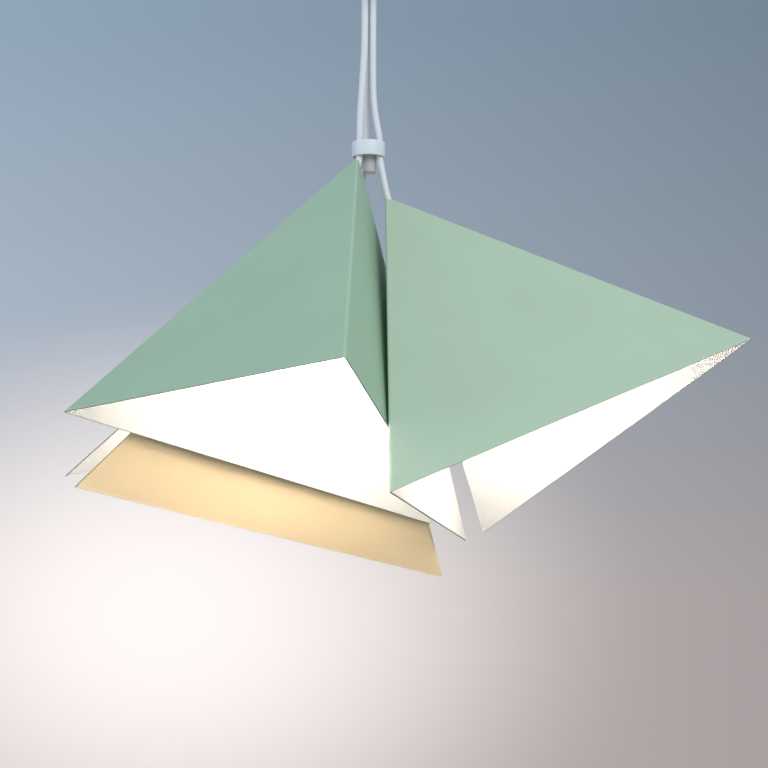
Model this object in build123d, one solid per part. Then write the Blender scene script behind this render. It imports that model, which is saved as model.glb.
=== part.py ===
"""Cluster pendant lamp: three folded sheet-metal shades on three cords below a ceiling rose.

Millimetres, +Z up. The origin is the middle of the rose's mounting plate where it meets
the ceiling, so the whole lamp hangs below z = 0. Each shade is made in its own frame,
with the point where its folds would meet at the origin, its open side down and its slit
towards +X, and is then put in place by a point and three angles.
"""
from build123d import *
from math import atan2, cos, degrees, pi, radians, sin, sqrt, tan
import os

# cord and running clearances
CORD_R = 3.25
FIT = 0.05
RUN = 0.3
PIVOT_GAP = 0.05

# folded shade: three faces cut from one sheet, with two folds and one open slit
SHEET = 1.2
EDGE = 360.0
FRONT = 340.0
SLIT = 23.0
TIP_CUT_R = 8.5
FOLD_R = 1.8
CORD_TO_SLIT = 2.0
CORD_HOLE_PLAY = 1.5
ENTRY_DEPTH = 32.0

# where each shade hangs: fold point, its height counted from the band's foot, then azimuth, lean and turn
SHADE_PLACES = {
    "left": ((-9.3, -8.5, 0.2), (64.5, 25.2, -17.1)),
    "right": ((15.2, -8.9, -37.4), (144.9, 32.8, -38.3)),
    "rear": ((-12.8, 6.2, -56.3), (-31.4, 23.6, -107.0)),
}

# lampholder and its carrier, as distances down the lamp axis from the fold point
CONE_TOP = 20.0
CONE_FOOT = 64.0
NIPPLE_R = 5.0
NIPPLE_LENGTH = 20.0
HOLDER_R = 20.0
HOLDER_WALL = 1.8
CAP_NECK_R = 9.0
CAP_NECK = 4.0
CAP_HEIGHT = 24.0
BODY_HEIGHT = 40.0
BODY_BAND = 6.0
SKIRT_TAPER = 1.2
INSERT_FLOOR = 7.0
INSERT_SETBACK = 4.0
CONTACT_WALL = 0.45
CONTACT_PLAY = 0.5
CONTACT_SETBACK = 2.0
TONGUE = (9.0, 5.0, 1.5)

# screw bulb
SHELL_R = 13.1
SHELL_LENGTH = 25.0
TIP_R = 4.5
TIP_LENGTH = 3.0
TIP_STEP = 1.0
INSULATOR_R = 7.5
GLOBE_R = 40.0
GLOBE_WALL = 1.2
BULB_LENGTH = 120.0
BULB_NECK_R = 14.5
NECK_JOIN = 0.8
NECK_STRAIGHT = 4.0

# collar band and the core that spreads the cords
DROP = 193.0
RING_HEIGHT = 14.0
RING_WALL = 1.25
RING_EDGE = 0.6
PIVOT_DROP = 1.2
CORD_PITCH_R = 11.0
CORE_R = 8.2
CORE_TAIL_R = 7.0
CORE_TAIL = 15.0
CORD_ANGLES = {"left": 222.0, "right": -18.0, "rear": 102.0}

# ceiling rose
CANOPY_R = 50.0
CANOPY_HEIGHT = 30.0
CANOPY_WALL = 1.2
CANOPY_EDGE = 3.0
PLATE_R = 44.0
PLATE_T = 1.2
SLOT_SPACING = 64.0
SLOT_LENGTH = 12.0
SLOT_W = 5.0
FEED_R = 6.0
FEED_Y = -28.0
CLAMP_R = 13.0
CLAMP_HEIGHT = 13.0
CLAMP_BORE = 9.0
CLAMP_SCREW_R = 1.5
BLOCK_SIZE = (34.0, 14.0, 12.0)
BLOCK_Y = 27.0
BLOCK_WAYS = 3
BLOCK_SCREW_R = 1.8
BLOCK_SCREW = 5.0
BLOCK_WELL = 6.0
WIRE_HOLE_R = 2.0
GLAND_R = 11.0
GLAND_FLANGE_R = 14.5
GLAND_FLANGE = 2.0
GLAND_DROP = 8.0
GLAND_SHOULDER = 1.0
GLAND_NUT = 4.0
GLAND_NUT_RIM = 4.0
GLAND_SCREW_HEAD = 1.0
OUTLET_PITCH_R = 5.0

# distance of each cord from the middle line and its height above the band, between the rose and the band
UPPER_ROUTES = {
    "left": ((5.0, 101.0), (7.2, 61.0), (10.3, 27.0)),
    "right": ((5.0, 101.0), (4.4, 63.0), (5.2, 39.0), (9.9, 17.0)),
    "rear": ((5.0, 101.0), (5.9, 65.0), (9.5, 29.0)),
}

# worked out from the sizes above
REACH = sqrt(EDGE**2 - ((FRONT - SLIT) / 2) ** 2)
SPREAD = (FRONT**2 - SLIT**2) / 4 / REACH
SLIT_X = (REACH + SPREAD) / 2
FRONT_X = (REACH - SPREAD) / 2
HEIGHT = sqrt(EDGE**2 - FRONT**2 / 4 - FRONT_X**2)
BAND_INNER_R = CORD_PITCH_R + CORD_R + RUN
RING_R = BAND_INNER_R + RING_WALL
RING_FOOT = -DROP - RING_HEIGHT
PIVOT_Z = RING_FOOT - PIVOT_DROP
CLAMP_FOOT = -PLATE_T - CLAMP_HEIGHT

APEX = Vector(0, 0, 0)
CORNERS = [
    Vector(SLIT_X, SLIT / 2, -HEIGHT),
    Vector(-FRONT_X, FRONT / 2, -HEIGHT),
    Vector(-FRONT_X, -FRONT / 2, -HEIGHT),
    Vector(SLIT_X, -SLIT / 2, -HEIGHT),
]


def lamp_axis():
    """Sideways step and wall distance, per millimetre down, of the line midway between the faces."""
    front_norm = HEIGHT / sqrt(HEIGHT**2 + FRONT_X**2)
    side_x = (FRONT - SLIT) / 2 / EDGE
    side_foot = (SLIT_X * FRONT / 2 + FRONT_X * SLIT / 2) / EDGE
    side_norm = HEIGHT / sqrt(HEIGHT**2 + side_foot**2)
    step = (side_norm * side_foot - front_norm * FRONT_X) / HEIGHT / (front_norm + side_norm * side_x)
    wall = front_norm * (step + FRONT_X / HEIGHT)
    return step, wall


AXIS_STEP, WALL_RATIO = lamp_axis()
AXIS_LEAN = degrees(atan2(-AXIS_STEP, 1))
ALONG = sqrt(1 + AXIS_STEP**2)

CAP_FOOT = CONE_FOOT + CAP_HEIGHT
BODY_FOOT = CAP_FOOT + BODY_HEIGHT
INSERT_TOP = CAP_FOOT
CONTACT_SEAT = INSERT_TOP + INSERT_FLOOR
TIP_TOP = CONTACT_SEAT + TONGUE[2] + FIT
SHELL_TOP = TIP_TOP + TIP_LENGTH
SHELL_FOOT = SHELL_TOP + SHELL_LENGTH
BULB_FOOT = TIP_TOP + BULB_LENGTH
INSERT_R = HOLDER_R - HOLDER_WALL - FIT


def cone_r(down):
    """Radius of the carrier cone where it meets the inside of the three faces."""
    return (WALL_RATIO * down / ALONG) - SHEET - FIT


def on_axis(shape):
    """Turns a shape made down the -Z axis onto the lamp axis of a shade."""
    return Rot(0, AXIS_LEAN, 0) * shape


def axis_point(down):
    """The point at a distance down the lamp axis, in a shade's frame."""
    return Vector(AXIS_STEP * down / ALONG, 0, -down / ALONG)


def spun(points):
    """A solid of revolution about Z from its half outline of (radius, distance down)."""
    outline = Polyline(*[(r, 0, -down) for r, down in points], close=True)
    return revolve(make_face(outline), Axis.Z, 360)


def tube(points, radius):
    """A round bar along straight runs, joined by arcs as large as the runs allow."""
    points = [Vector(p) for p in points]
    runs = [(b - a).length for a, b in zip(points, points[1:])]
    radii = []
    for before, corner, after, run_in, run_out in zip(points, points[1:], points[2:], runs, runs[1:]):
        turn = (corner - before).get_angle(after - corner)
        radii.append(0.45 * min(run_in, run_out) / tan(radians(turn / 2)))
    path = FilletPolyline(*points, radius=radii) if radii else Polyline(*points)
    start = Plane(path @ 0, z_dir=path % 0)
    return sweep(start * Circle(radius), path=path), path.length, radii


def flat_face(*points):
    """A flat face through a ring of points."""
    return make_face(Polyline(*points, close=True)).face()


def face_plate(a, b):
    """One face of the shade, as a flat plate a sheet thick, inwards from the outer face."""
    face = flat_face(APEX, a, b)
    inward = Vector(0, 0, -HEIGHT) - (APEX + a + b) / 3
    normal = face.normal_at()
    if normal.dot(inward) < 0:
        normal = -normal
    return extrude(face, amount=SHEET, dir=normal)


def outer_pyramid():
    """The space inside the outer faces and the plane of the slit."""
    sides = [flat_face(APEX, a, b) for a, b in zip(CORNERS, CORNERS[1:] + CORNERS[:1])]
    return Solid(Shell(sides + [flat_face(*CORNERS)]))


def entry_route():
    """The cord's last stretch in a shade's frame: in beside the slit, then down the lamp axis."""
    return [Vector(CORD_TO_SLIT, 0, -TIP_CUT_R), axis_point(ENTRY_DEPTH), axis_point(CONE_FOOT + CAP_NECK)]


def folded_shade():
    """One sheet with two folds, an open slit, and a tip cut back round the cord."""
    outside = outer_pyramid() - Sphere(TIP_CUT_R)
    folds = []
    for corner in CORNERS[1:3]:
        middle = corner * 0.5
        folds.append(min(outside.edges(), key=lambda e: (e.center() - middle).length))
    plates = [face_plate(a, b) for a, b in zip(CORNERS, CORNERS[1:])]
    sheet = fillet(folds, FOLD_R) & (plates[0] + plates[1] + plates[2])
    first, second = entry_route()[:2]
    above = first + (first - second)
    hole, _, _ = tube([above, second], CORD_R + CORD_HOLE_PLAY)
    return sheet - hole


def carrier_cone(cord_space):
    """Moulded cone that carries the shade by its three faces and rests on the lampholder cap."""
    side = [(cone_r(down), down) for down in (CONE_TOP, CONE_FOOT)]
    cone = spun([(0, CONE_TOP)] + side + [(0, CONE_FOOT)])
    nipple_top = CONE_FOOT + CAP_NECK - NIPPLE_LENGTH / 2 - CAP_NECK
    seat = Pos(0, 0, -(nipple_top + CONE_FOOT) / 2) * Cylinder(NIPPLE_R + FIT, CONE_FOOT - nipple_top)
    return on_axis(cone - seat) - cord_space


def nipple(cord_space):
    """Hollow threaded nipple from the cone into the neck of the cap."""
    middle = CONE_FOOT
    return on_axis(Pos(0, 0, -middle) * Cylinder(NIPPLE_R, NIPPLE_LENGTH)) - cord_space


def shoulder_arc(top_r, top, foot_r, foot):
    """A round shoulder in the half outline, from a small radius down to a wide one."""
    middle = (top_r + (foot_r - top_r) * sin(pi / 4), 0, (foot - top) * sin(pi / 4) - foot)
    return ThreePointArc((top_r, 0, -top), middle, (foot_r, 0, -foot))


def holder_cap():
    """Domed cap of the lampholder, hollow, with a neck for the nipple."""
    bore, inner_r = NIPPLE_R + FIT, HOLDER_R - HOLDER_WALL
    neck_foot, shoulder = CONE_FOOT + CAP_NECK, CAP_FOOT - HOLDER_R / 3
    lid = neck_foot + HOLDER_WALL
    neck = [(bore, 0, -lid), (bore, 0, -CONE_FOOT)]
    neck += [(CAP_NECK_R, 0, -CONE_FOOT), (CAP_NECK_R, 0, -neck_foot)]
    skirt = [(HOLDER_R, 0, -shoulder), (HOLDER_R, 0, -CAP_FOOT)]
    skirt += [(inner_r, 0, -CAP_FOOT), (inner_r, 0, -shoulder)]
    outside = shoulder_arc(CAP_NECK_R, neck_foot, HOLDER_R, shoulder)
    inside = shoulder_arc(CAP_NECK_R, lid, inner_r, shoulder)
    ceiling = Line((CAP_NECK_R, 0, -lid), neck[0])
    outline = Polyline(*neck) + outside + Polyline(*skirt) + inside + ceiling
    return on_axis(revolve(make_face(outline), Axis.Z, 360))


def holder_body():
    """Tapered sleeve of the lampholder, below the cap."""
    mouth = HOLDER_R - SKIRT_TAPER
    outline = [(HOLDER_R - HOLDER_WALL, CAP_FOOT), (HOLDER_R, CAP_FOOT), (HOLDER_R, CAP_FOOT + BODY_BAND)]
    outline += [(mouth, BODY_FOOT), (mouth - HOLDER_WALL, BODY_FOOT)]
    return on_axis(spun(outline + [(HOLDER_R - HOLDER_WALL, BODY_FOOT - INSERT_SETBACK)]))


def holder_insert():
    """Insulating cup inside the sleeve, which carries the contacts."""
    bore = SHELL_R + CONTACT_WALL + CONTACT_PLAY
    foot = BODY_FOOT - INSERT_SETBACK
    outline = [(0, INSERT_TOP), (INSERT_R, INSERT_TOP), (INSERT_R, foot), (bore, foot)]
    return on_axis(spun(outline + [(bore, CONTACT_SEAT), (0, CONTACT_SEAT)]))


def holder_contacts():
    """Brass screw liner and centre tongue."""
    bore = SHELL_R + CONTACT_WALL + CONTACT_PLAY
    foot = BODY_FOOT - INSERT_SETBACK - CONTACT_SETBACK
    inner = bore - CONTACT_WALL
    liner = spun([(inner, CONTACT_SEAT), (bore, CONTACT_SEAT), (bore, foot), (inner, foot)])
    tongue = Pos(0, 0, -CONTACT_SEAT - TONGUE[2] / 2) * Box(*TONGUE)
    return on_axis(liner) + on_axis(tongue)


def bulb_shell():
    """Screw shell of the bulb, with its insulator and tip as one stepped end."""
    end = [(0, TIP_TOP), (TIP_R, TIP_TOP), (TIP_R, TIP_TOP + TIP_STEP), (INSULATOR_R, TIP_TOP + TIP_STEP)]
    outline = end + [(SHELL_R, SHELL_TOP), (SHELL_R, SHELL_FOOT), (0, SHELL_FOOT)]
    return on_axis(spun(outline))


def bulb_globe():
    """Hollow round globe with a short neck that flares out of the screw shell."""
    outside = globe_form(0)
    return on_axis(outside - globe_form(GLOBE_WALL))


def globe_form(inset):
    """Ball and neck of the globe as a solid, made smaller by an inset."""
    centre = BULB_FOOT - GLOBE_R
    radius = GLOBE_R - inset
    join = GLOBE_R * NECK_JOIN
    join_r = sqrt(GLOBE_R**2 - join**2) - inset
    neck_r = BULB_NECK_R - inset
    straight = SHELL_FOOT + NECK_STRAIGHT
    overlap = centre - join + NECK_STRAIGHT
    flare = [(neck_r, straight), (join_r, centre - join), (join_r, overlap)]
    neck = spun([(0, SHELL_FOOT), (neck_r, SHELL_FOOT)] + flare + [(0, overlap)])
    return Pos(0, 0, -centre) * Sphere(radius) + neck


def around(angle, radius, height):
    """A point at an angle and a distance from the lamp's middle line."""
    return Vector(radius * cos(radians(angle)), radius * sin(radians(angle)), height)


def upper_cord(name):
    """Cord from the clamp in the rose down to just above its pivot under the collar."""
    angle = CORD_ANGLES[name]
    top = CLAMP_FOOT + CLAMP_BORE
    route = [around(angle, OUTLET_PITCH_R, top)]
    route += [around(angle, radius, height - DROP) for radius, height in UPPER_ROUTES[name]]
    route += [around(angle, CORD_PITCH_R, -DROP + RING_HEIGHT / 2)]
    route += [around(angle, CORD_PITCH_R, PIVOT_Z + CORD_R + PIVOT_GAP)]
    return tube(route, CORD_R)


def lower_cord(name, place):
    """Cord from its pivot under the collar into the shade, round at the pivot."""
    pivot = around(CORD_ANGLES[name], CORD_PITCH_R, PIVOT_Z)
    inside = [(place * Pos(*p)).position for p in entry_route()]
    bar, length, radii = tube([pivot] + inside, CORD_R)
    return bar + Pos(*pivot) * Sphere(CORD_R), length, radii


def collar_ring():
    """Plain band round the three cords, with softened edges."""
    foot = DROP + RING_HEIGHT
    band = spun([(BAND_INNER_R, DROP), (RING_R, DROP), (RING_R, foot), (BAND_INNER_R, foot)])
    rims = band.edges().filter_by(GeomType.CIRCLE).sort_by(lambda e: e.radius)[-2:]
    return chamfer(rims, RING_EDGE)


def cord_core():
    """Core between the cords: grooved inside the band, with a plain tail below it."""
    middle = RING_FOOT + RING_HEIGHT / 2
    head = Pos(0, 0, middle) * Cylinder(CORE_R, RING_HEIGHT)
    for angle in CORD_ANGLES.values():
        head -= Pos(*around(angle, CORD_PITCH_R, middle)) * Cylinder(CORD_R + FIT, RING_HEIGHT + 1)
    tail = Pos(0, 0, RING_FOOT - CORE_TAIL / 2) * Cylinder(CORE_TAIL_R, CORE_TAIL)
    rim = tail.edges().filter_by(GeomType.CIRCLE).sort_by(Axis.Z)[0]
    return head + chamfer(rim, 1)


def mounting_plate():
    """Steel plate against the ceiling, with two slots and the hole for the supply cable."""
    plate = Pos(0, 0, -PLATE_T / 2) * Cylinder(PLATE_R, PLATE_T)
    for side in (-1, 1):
        slot = SlotOverall(SLOT_LENGTH, SLOT_W)
        plate -= Pos(side * SLOT_SPACING / 2, 0, -PLATE_T - 1) * extrude(slot, PLATE_T + 2)
    return plate - Pos(0, FEED_Y, -PLATE_T / 2) * Cylinder(FEED_R, PLATE_T + 2)


def cord_clamp():
    """Insulating block under the plate, with a blind bore and a screw hole for each cord."""
    block = Pos(0, 0, -PLATE_T - CLAMP_HEIGHT / 2) * Cylinder(CLAMP_R, CLAMP_HEIGHT)
    for angle in CORD_ANGLES.values():
        bore = Cylinder(CORD_R + FIT, CLAMP_BORE)
        block -= Pos(*around(angle, OUTLET_PITCH_R, CLAMP_FOOT + CLAMP_BORE / 2)) * bore
        block -= clamp_screw(angle, CLAMP_SCREW_R + FIT)
    return block


def clamp_screw(angle, radius):
    """One grub screw that reaches in to a cord from the side of the clamp."""
    inner = OUTLET_PITCH_R + CORD_R
    length = CLAMP_R - inner
    bar = Rot(0, 90, 0) * Cylinder(radius, length, align=(Align.CENTER, Align.CENTER, Align.MIN))
    return Rot(0, 0, angle) * Pos(inner, 0, CLAMP_FOOT + CLAMP_BORE / 2) * bar


def clamp_screws():
    """The three grub screws of the clamp."""
    return Compound([clamp_screw(angle, CLAMP_SCREW_R) for angle in CORD_ANGLES.values()])


def terminal_block():
    """Insulating terminal strip with a screw well and a wire hole for each way."""
    wide, deep, high = BLOCK_SIZE
    well = -PLATE_T - high + BLOCK_WELL / 2
    block = Pos(0, BLOCK_Y, -PLATE_T - high / 2) * Box(wide, deep, high)
    for x in block_ways():
        block -= Pos(x, BLOCK_Y, well) * Cylinder(BLOCK_SCREW_R + FIT, BLOCK_WELL)
        block -= Pos(x, BLOCK_Y, -PLATE_T - high * 0.45) * Rot(90, 0, 0) * Cylinder(WIRE_HOLE_R, deep + 2)
    return block


def block_ways():
    """Where the ways of the terminal strip are along X."""
    pitch = BLOCK_SIZE[0] / BLOCK_WAYS
    return [(way - (BLOCK_WAYS - 1) / 2) * pitch for way in range(BLOCK_WAYS)]


def terminal_screws():
    """The brass screws in the wells of the terminal strip."""
    middle = -PLATE_T - BLOCK_SIZE[2] + BLOCK_WELL - BLOCK_SCREW / 2
    return Compound([Pos(x, BLOCK_Y, middle) * Cylinder(BLOCK_SCREW_R, BLOCK_SCREW) for x in block_ways()])


def canopy():
    """Round cup over the plate, open to the ceiling, with the hole for the gland."""
    inner = CANOPY_R - CANOPY_WALL
    cup = Pos(0, 0, -CANOPY_HEIGHT / 2) * Cylinder(CANOPY_R, CANOPY_HEIGHT)
    cup = fillet(cup.edges().filter_by(GeomType.CIRCLE).sort_by(Axis.Z)[0], CANOPY_EDGE)
    space = Pos(0, 0, -(CANOPY_HEIGHT - CANOPY_WALL) / 2) * Cylinder(inner, CANOPY_HEIGHT - CANOPY_WALL)
    space = fillet(space.edges().filter_by(GeomType.CIRCLE).sort_by(Axis.Z)[0], CANOPY_EDGE - CANOPY_WALL)
    return cup - space - Pos(0, 0, -CANOPY_HEIGHT) * Cylinder(GLAND_R + FIT, 4 * CANOPY_WALL)


def outlet_gland():
    """Cord outlet: a flange under the canopy, a stem through it and a wide bore for the cords."""
    bore = OUTLET_PITCH_R + CORD_R + RUN
    floor = CANOPY_HEIGHT
    top = floor - CANOPY_WALL - GLAND_NUT
    outline = [(bore, top), (GLAND_R, top), (GLAND_R, floor)]
    outline += [(GLAND_FLANGE_R, floor), (GLAND_FLANGE_R, floor + GLAND_FLANGE)]
    outline += [(GLAND_R + GLAND_SHOULDER, floor + GLAND_DROP), (bore, floor + GLAND_DROP)]
    return spun(outline) - gland_screw(BLOCK_SCREW_R + FIT)


def gland_screw(radius=BLOCK_SCREW_R):
    """Grub screw that grips the cords through the side of the gland."""
    inner = OUTLET_PITCH_R + CORD_R + RUN
    length = GLAND_R + GLAND_SHOULDER + GLAND_SCREW_HEAD - inner
    bar = Rot(0, 90, 0) * Cylinder(radius, length, align=(Align.CENTER, Align.CENTER, Align.MIN))
    return Rot(0, 0, CORD_ANGLES["rear"]) * Pos(inner, 0, -CANOPY_HEIGHT - GLAND_DROP / 2) * bar


def gland_nut():
    """Six-sided lock nut on the gland's stem, inside the canopy."""
    nut = extrude(RegularPolygon(GLAND_R + GLAND_NUT_RIM, 6), GLAND_NUT)
    bored = nut - Cylinder(GLAND_R + FIT, 3 * GLAND_NUT)
    return Pos(0, 0, -CANOPY_HEIGHT + CANOPY_WALL) * bored


def shade_set(name):
    """Every piece that hangs on one cord, put in place."""
    (x, y, height), (azimuth, lean, turn) = SHADE_PLACES[name]
    place = Pos(x, y, RING_FOOT + height) * Rot(0, 0, azimuth) * Rot(0, lean, 0) * Rot(0, 0, turn)
    cord, length, radii = lower_cord(name, place)
    print("lower cord", name, "length", round(length, 1), "radii", [round(r) for r in radii])
    back = place.inverse()
    pivot = back * Pos(*around(CORD_ANGLES[name], CORD_PITCH_R, PIVOT_Z))
    cord_space, _, _ = tube([pivot.position] + entry_route(), CORD_R + FIT)
    pieces = {
        "shade": folded_shade(),
        "carrier_cone": carrier_cone(cord_space),
        "nipple": nipple(cord_space),
        "holder_cap": holder_cap(),
        "holder_body": holder_body(),
        "holder_insert": holder_insert(),
        "holder_contacts": holder_contacts(),
        "bulb_shell": bulb_shell(),
        "bulb_globe": bulb_globe(),
    }
    placed = {f"{kind}_{name}": place * piece for kind, piece in pieces.items()}
    placed[f"cord_lower_{name}"] = cord
    return placed


def lamp():
    """Every node of the lamp by name."""
    nodes = {
        "mounting_plate": mounting_plate(),
        "cord_clamp": cord_clamp(),
        "clamp_screws": clamp_screws(),
        "terminal_block": terminal_block(),
        "terminal_screws": terminal_screws(),
        "canopy": canopy(),
        "outlet_gland": outlet_gland(),
        "gland_nut": gland_nut(),
        "gland_screw": gland_screw(),
        "collar_ring": collar_ring(),
        "cord_core": cord_core(),
    }
    for name in SHADE_PLACES:
        cord, length, radii = upper_cord(name)
        print("upper cord", name, "length", round(length, 1), "radii", [round(r) for r in radii])
        nodes[f"cord_upper_{name}"] = cord
        nodes.update(shade_set(name))
    return nodes


os.makedirs("parts", exist_ok=True)
for node, shape in lamp().items():
    export_step(shape, f"parts/{node}.step")
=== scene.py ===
"""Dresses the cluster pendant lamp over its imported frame: shades, flex, collar, rose, lampholders and bulbs.

Lengths are metres in the frame of the part: origin in the middle of the mounting plate
at the ceiling, +Z up, and the viewer of the photograph on the -Y side.
"""

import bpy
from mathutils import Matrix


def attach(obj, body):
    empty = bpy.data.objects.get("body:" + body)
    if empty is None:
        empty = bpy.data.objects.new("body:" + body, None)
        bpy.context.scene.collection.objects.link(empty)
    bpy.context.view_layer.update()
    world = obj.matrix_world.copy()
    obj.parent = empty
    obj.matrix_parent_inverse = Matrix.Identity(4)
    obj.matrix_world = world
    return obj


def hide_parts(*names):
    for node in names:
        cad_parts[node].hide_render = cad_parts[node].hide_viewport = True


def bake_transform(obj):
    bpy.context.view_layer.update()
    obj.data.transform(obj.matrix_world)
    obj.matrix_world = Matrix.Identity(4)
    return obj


bl_info = {
    "name": "Folded cluster pendant",
    "version": (1, 0, 0),
    "blender": (4, 5, 0),
    "location": "View3D > Sidebar > Pendant",
    "description": "Builds the surfaces, finishes and stage of a pendant lamp with three folded shades",
    "category": "Add Mesh",
}

import bmesh
import bpy
import numpy as np
from bpy.props import FloatProperty, FloatVectorProperty, IntProperty, PointerProperty
from mathutils import Vector

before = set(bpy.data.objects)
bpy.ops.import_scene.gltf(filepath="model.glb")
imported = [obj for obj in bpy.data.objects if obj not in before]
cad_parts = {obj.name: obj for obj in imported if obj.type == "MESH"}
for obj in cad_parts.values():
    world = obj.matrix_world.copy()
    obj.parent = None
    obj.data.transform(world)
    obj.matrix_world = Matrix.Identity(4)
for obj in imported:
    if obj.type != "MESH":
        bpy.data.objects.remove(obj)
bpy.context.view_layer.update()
MM = 0.001
SIDES = ("left", "right", "rear")

# where each shade hangs: fold point in millimetres, then azimuth, lean and turn in degrees
PLACES = {
    "left": ((-9.3, -8.5, -206.8), (64.5, 25.2, -17.1)),
    "right": ((15.2, -8.9, -244.4), (144.9, 32.8, -38.3)),
    "rear": ((-12.8, 6.2, -263.3), (-31.4, 23.6, -107.0)),
}

# the angle of each cord round the middle line of the lamp, in degrees
CORD_ANGLES = {"left": 222.0, "right": -18.0, "rear": 102.0}

# places on a cord from the clamp down to the pivot: distance from the middle line and height, in millimetres
CLAMP_BORE = (5.0, -5.2)
UPPER_ROUTES = {
    "left": ((4.0, -92.0), (7.2, -132.0), (10.3, -166.0), (11.0, -186.0)),
    "right": ((4.5, -92.0), (4.4, -130.0), (5.0, -156.0), (8.6, -178.0), (11.0, -188.5)),
    "rear": ((4.2, -92.0), (5.9, -128.0), (9.5, -164.0), (11.0, -186.0)),
}
BAND_RUN = ((11.0, -204.9), (11.0, -208.2))

# how far down the lamp axis a cord comes onto it, and where it ends in the lampholder, in millimetres
CORD_ENTRY = 32.0
CORD_END = 68.0

# each studio lamp's place, what it is turned to, its size, power and colour
LAMPS = {
    "Key": ((1.1, -2.1, 1.2), (0.05, 0, -0.35), 1.6, 37, "#FFFFFF"),
    "Side": ((-2.4, -0.9, 0.2), (0, 0, -0.35), 1.8, 16, "#DCEBFF"),
}


def linear(code):
    """An sRGB hex colour as linear red, green and blue."""
    parts = np.array([int(code[i:i + 2], 16) for i in (1, 3, 5)]) / 255
    low, high = parts / 12.92, ((parts + 0.055) / 1.055) ** 2.4
    return tuple(float(v) for v in np.where(parts <= 0.04045, low, high))


def length(name, text, millimetres):
    """A length property, given in millimetres and kept in metres."""
    return FloatProperty(
        name=name, description=text, default=millimetres * MM, min=0.0, subtype="DISTANCE", unit="LENGTH"
    )


def colour(name, text, code):
    """A colour property with an sRGB hex default."""
    return FloatVectorProperty(
        name=name, description=text, size=3, subtype="COLOR", min=0, max=1, default=linear(code)
    )


class ShadeSizes(bpy.types.PropertyGroup):
    """The folded sheet of a shade."""

    edge: length("Edge", "Length of the folds, the slit's sides and the two side bases", 360)
    front: length("Front", "Length of the front face's base", 340)
    slit: length("Slit", "Width of the open slit at its foot", 23)
    sheet: length("Sheet", "Thickness of the metal", 1.2)
    fold: length("Fold", "Outer radius of a fold", 1.8)
    tip: length("Tip", "How far the tip of the sheet is cut back", 8.5)
    cord_step: length("Cord step", "How far the cord enters beside the lamp axis, towards the slit", 2)
    cord_hole: length("Cord hole", "Radius of the cut-out round the cord", 4.75)


class HolderSizes(bpy.types.PropertyGroup):
    """The lampholder and what carries the shade, as distances down the lamp axis."""

    cone_top: length("Cone top", "Where the carrier cone starts", 20)
    cone_foot: length("Cone foot", "Where the carrier cone ends and the cap starts", 64)
    neck: length("Neck", "Radius of the cap's neck", 9)
    radius: length("Radius", "Outer radius of the lampholder", 20)
    wall: length("Wall", "Wall of the lampholder", 1.8)
    cap_foot: length("Cap foot", "Where the cap meets the body", 88)
    body_foot: length("Body foot", "Mouth of the lampholder", 128)
    ribs: IntProperty(name="Ribs", description="Grip ribs round the lampholder", default=36, min=0)


class BulbSizes(bpy.types.PropertyGroup):
    """The screw bulb, as distances down the lamp axis."""

    tip_top: length("Tip top", "Where the centre contact starts", 96.55)
    shell: length("Shell", "Radius of the screw shell", 13.1)
    shell_top: length("Shell top", "Where the screw shell starts", 99.55)
    shell_foot: length("Shell foot", "Where the screw shell ends", 124.55)
    pitch: length("Pitch", "Thread pitch of the screw shell", 3.62)
    globe: length("Globe", "Radius of the globe", 40)
    globe_foot: length("Globe foot", "Where the globe ends", 216.55)
    neck: length("Neck", "Radius of the globe's neck", 14.5)


class FlexSizes(bpy.types.PropertyGroup):
    """The flex, the band round it and the core."""

    radius: length("Radius", "Radius of the flex", 3.25)
    pitch: length("Pitch circle", "Distance of the cords from the middle in the collar", 11)
    ring: length("Band radius", "Outer radius of the band", 15.8)
    ring_top: length("Band top", "Distance of the band's top below the ceiling", 193)
    ring_height: length("Band height", "Height of the band", 14)
    core: length("Core", "Radius of the core between the cords", 8.2)
    tail: length("Tail", "Radius of the core's tail", 7)
    tail_length: length("Tail length", "How far the tail shows under the band", 15)


class RoseSizes(bpy.types.PropertyGroup):
    """The canopy at the ceiling and its outlet."""

    radius: length("Radius", "Radius of the canopy", 50)
    height: length("Height", "Height of the canopy", 30)
    wall: length("Wall", "Wall of the canopy", 1.2)
    gland: length("Gland", "Radius of the gland's stem", 11)
    flange: length("Flange", "Radius of the gland's flange", 14.5)
    drop: length("Drop", "How far the gland stands below the canopy", 8)
    bore: length("Bore", "Radius of the gland's bore", 8.55)


class Finishes(bpy.types.PropertyGroup):
    """The colours that a maker would choose."""

    # the left and right greens are one sage powder coat: the left copy is darker as painted shade, the right
    # copy paler and warmer as painted light
    green_left: colour("Left green", "Powder coat of the left shade", "#A9C9AF")
    green_right: colour("Right green", "Powder coat of the right shade", "#B6CFB8")
    yellow: colour("Yellow", "Powder coat of the rear shade", "#E8D0A8")
    inside: colour("Inside", "White coat inside the shades", "#F4F3F0")
    # the cut edges are drawn a dark olive, a thin dark line round the sheet's rim
    cut_edge: colour("Cut edge", "Edge of the sheet under its coat", "#7C7763")
    cord: colour("Cord", "Jacket of the flex", "#E3E9EE")
    band: colour("Band", "Paint of the collar and canopy", "#E6EFF6")
    core: colour("Core", "Plastic of the core between the cords", "#C6C2C1")
    moulding: colour("Moulding", "Lampholder and cone", "#ECEBE6")
    light: colour("Light", "Colour of the lit bulb", "#FFF5E8")
    glow: FloatProperty(name="Glow", description="Strength of the lit globe", default=20.0, min=0.0)


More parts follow.
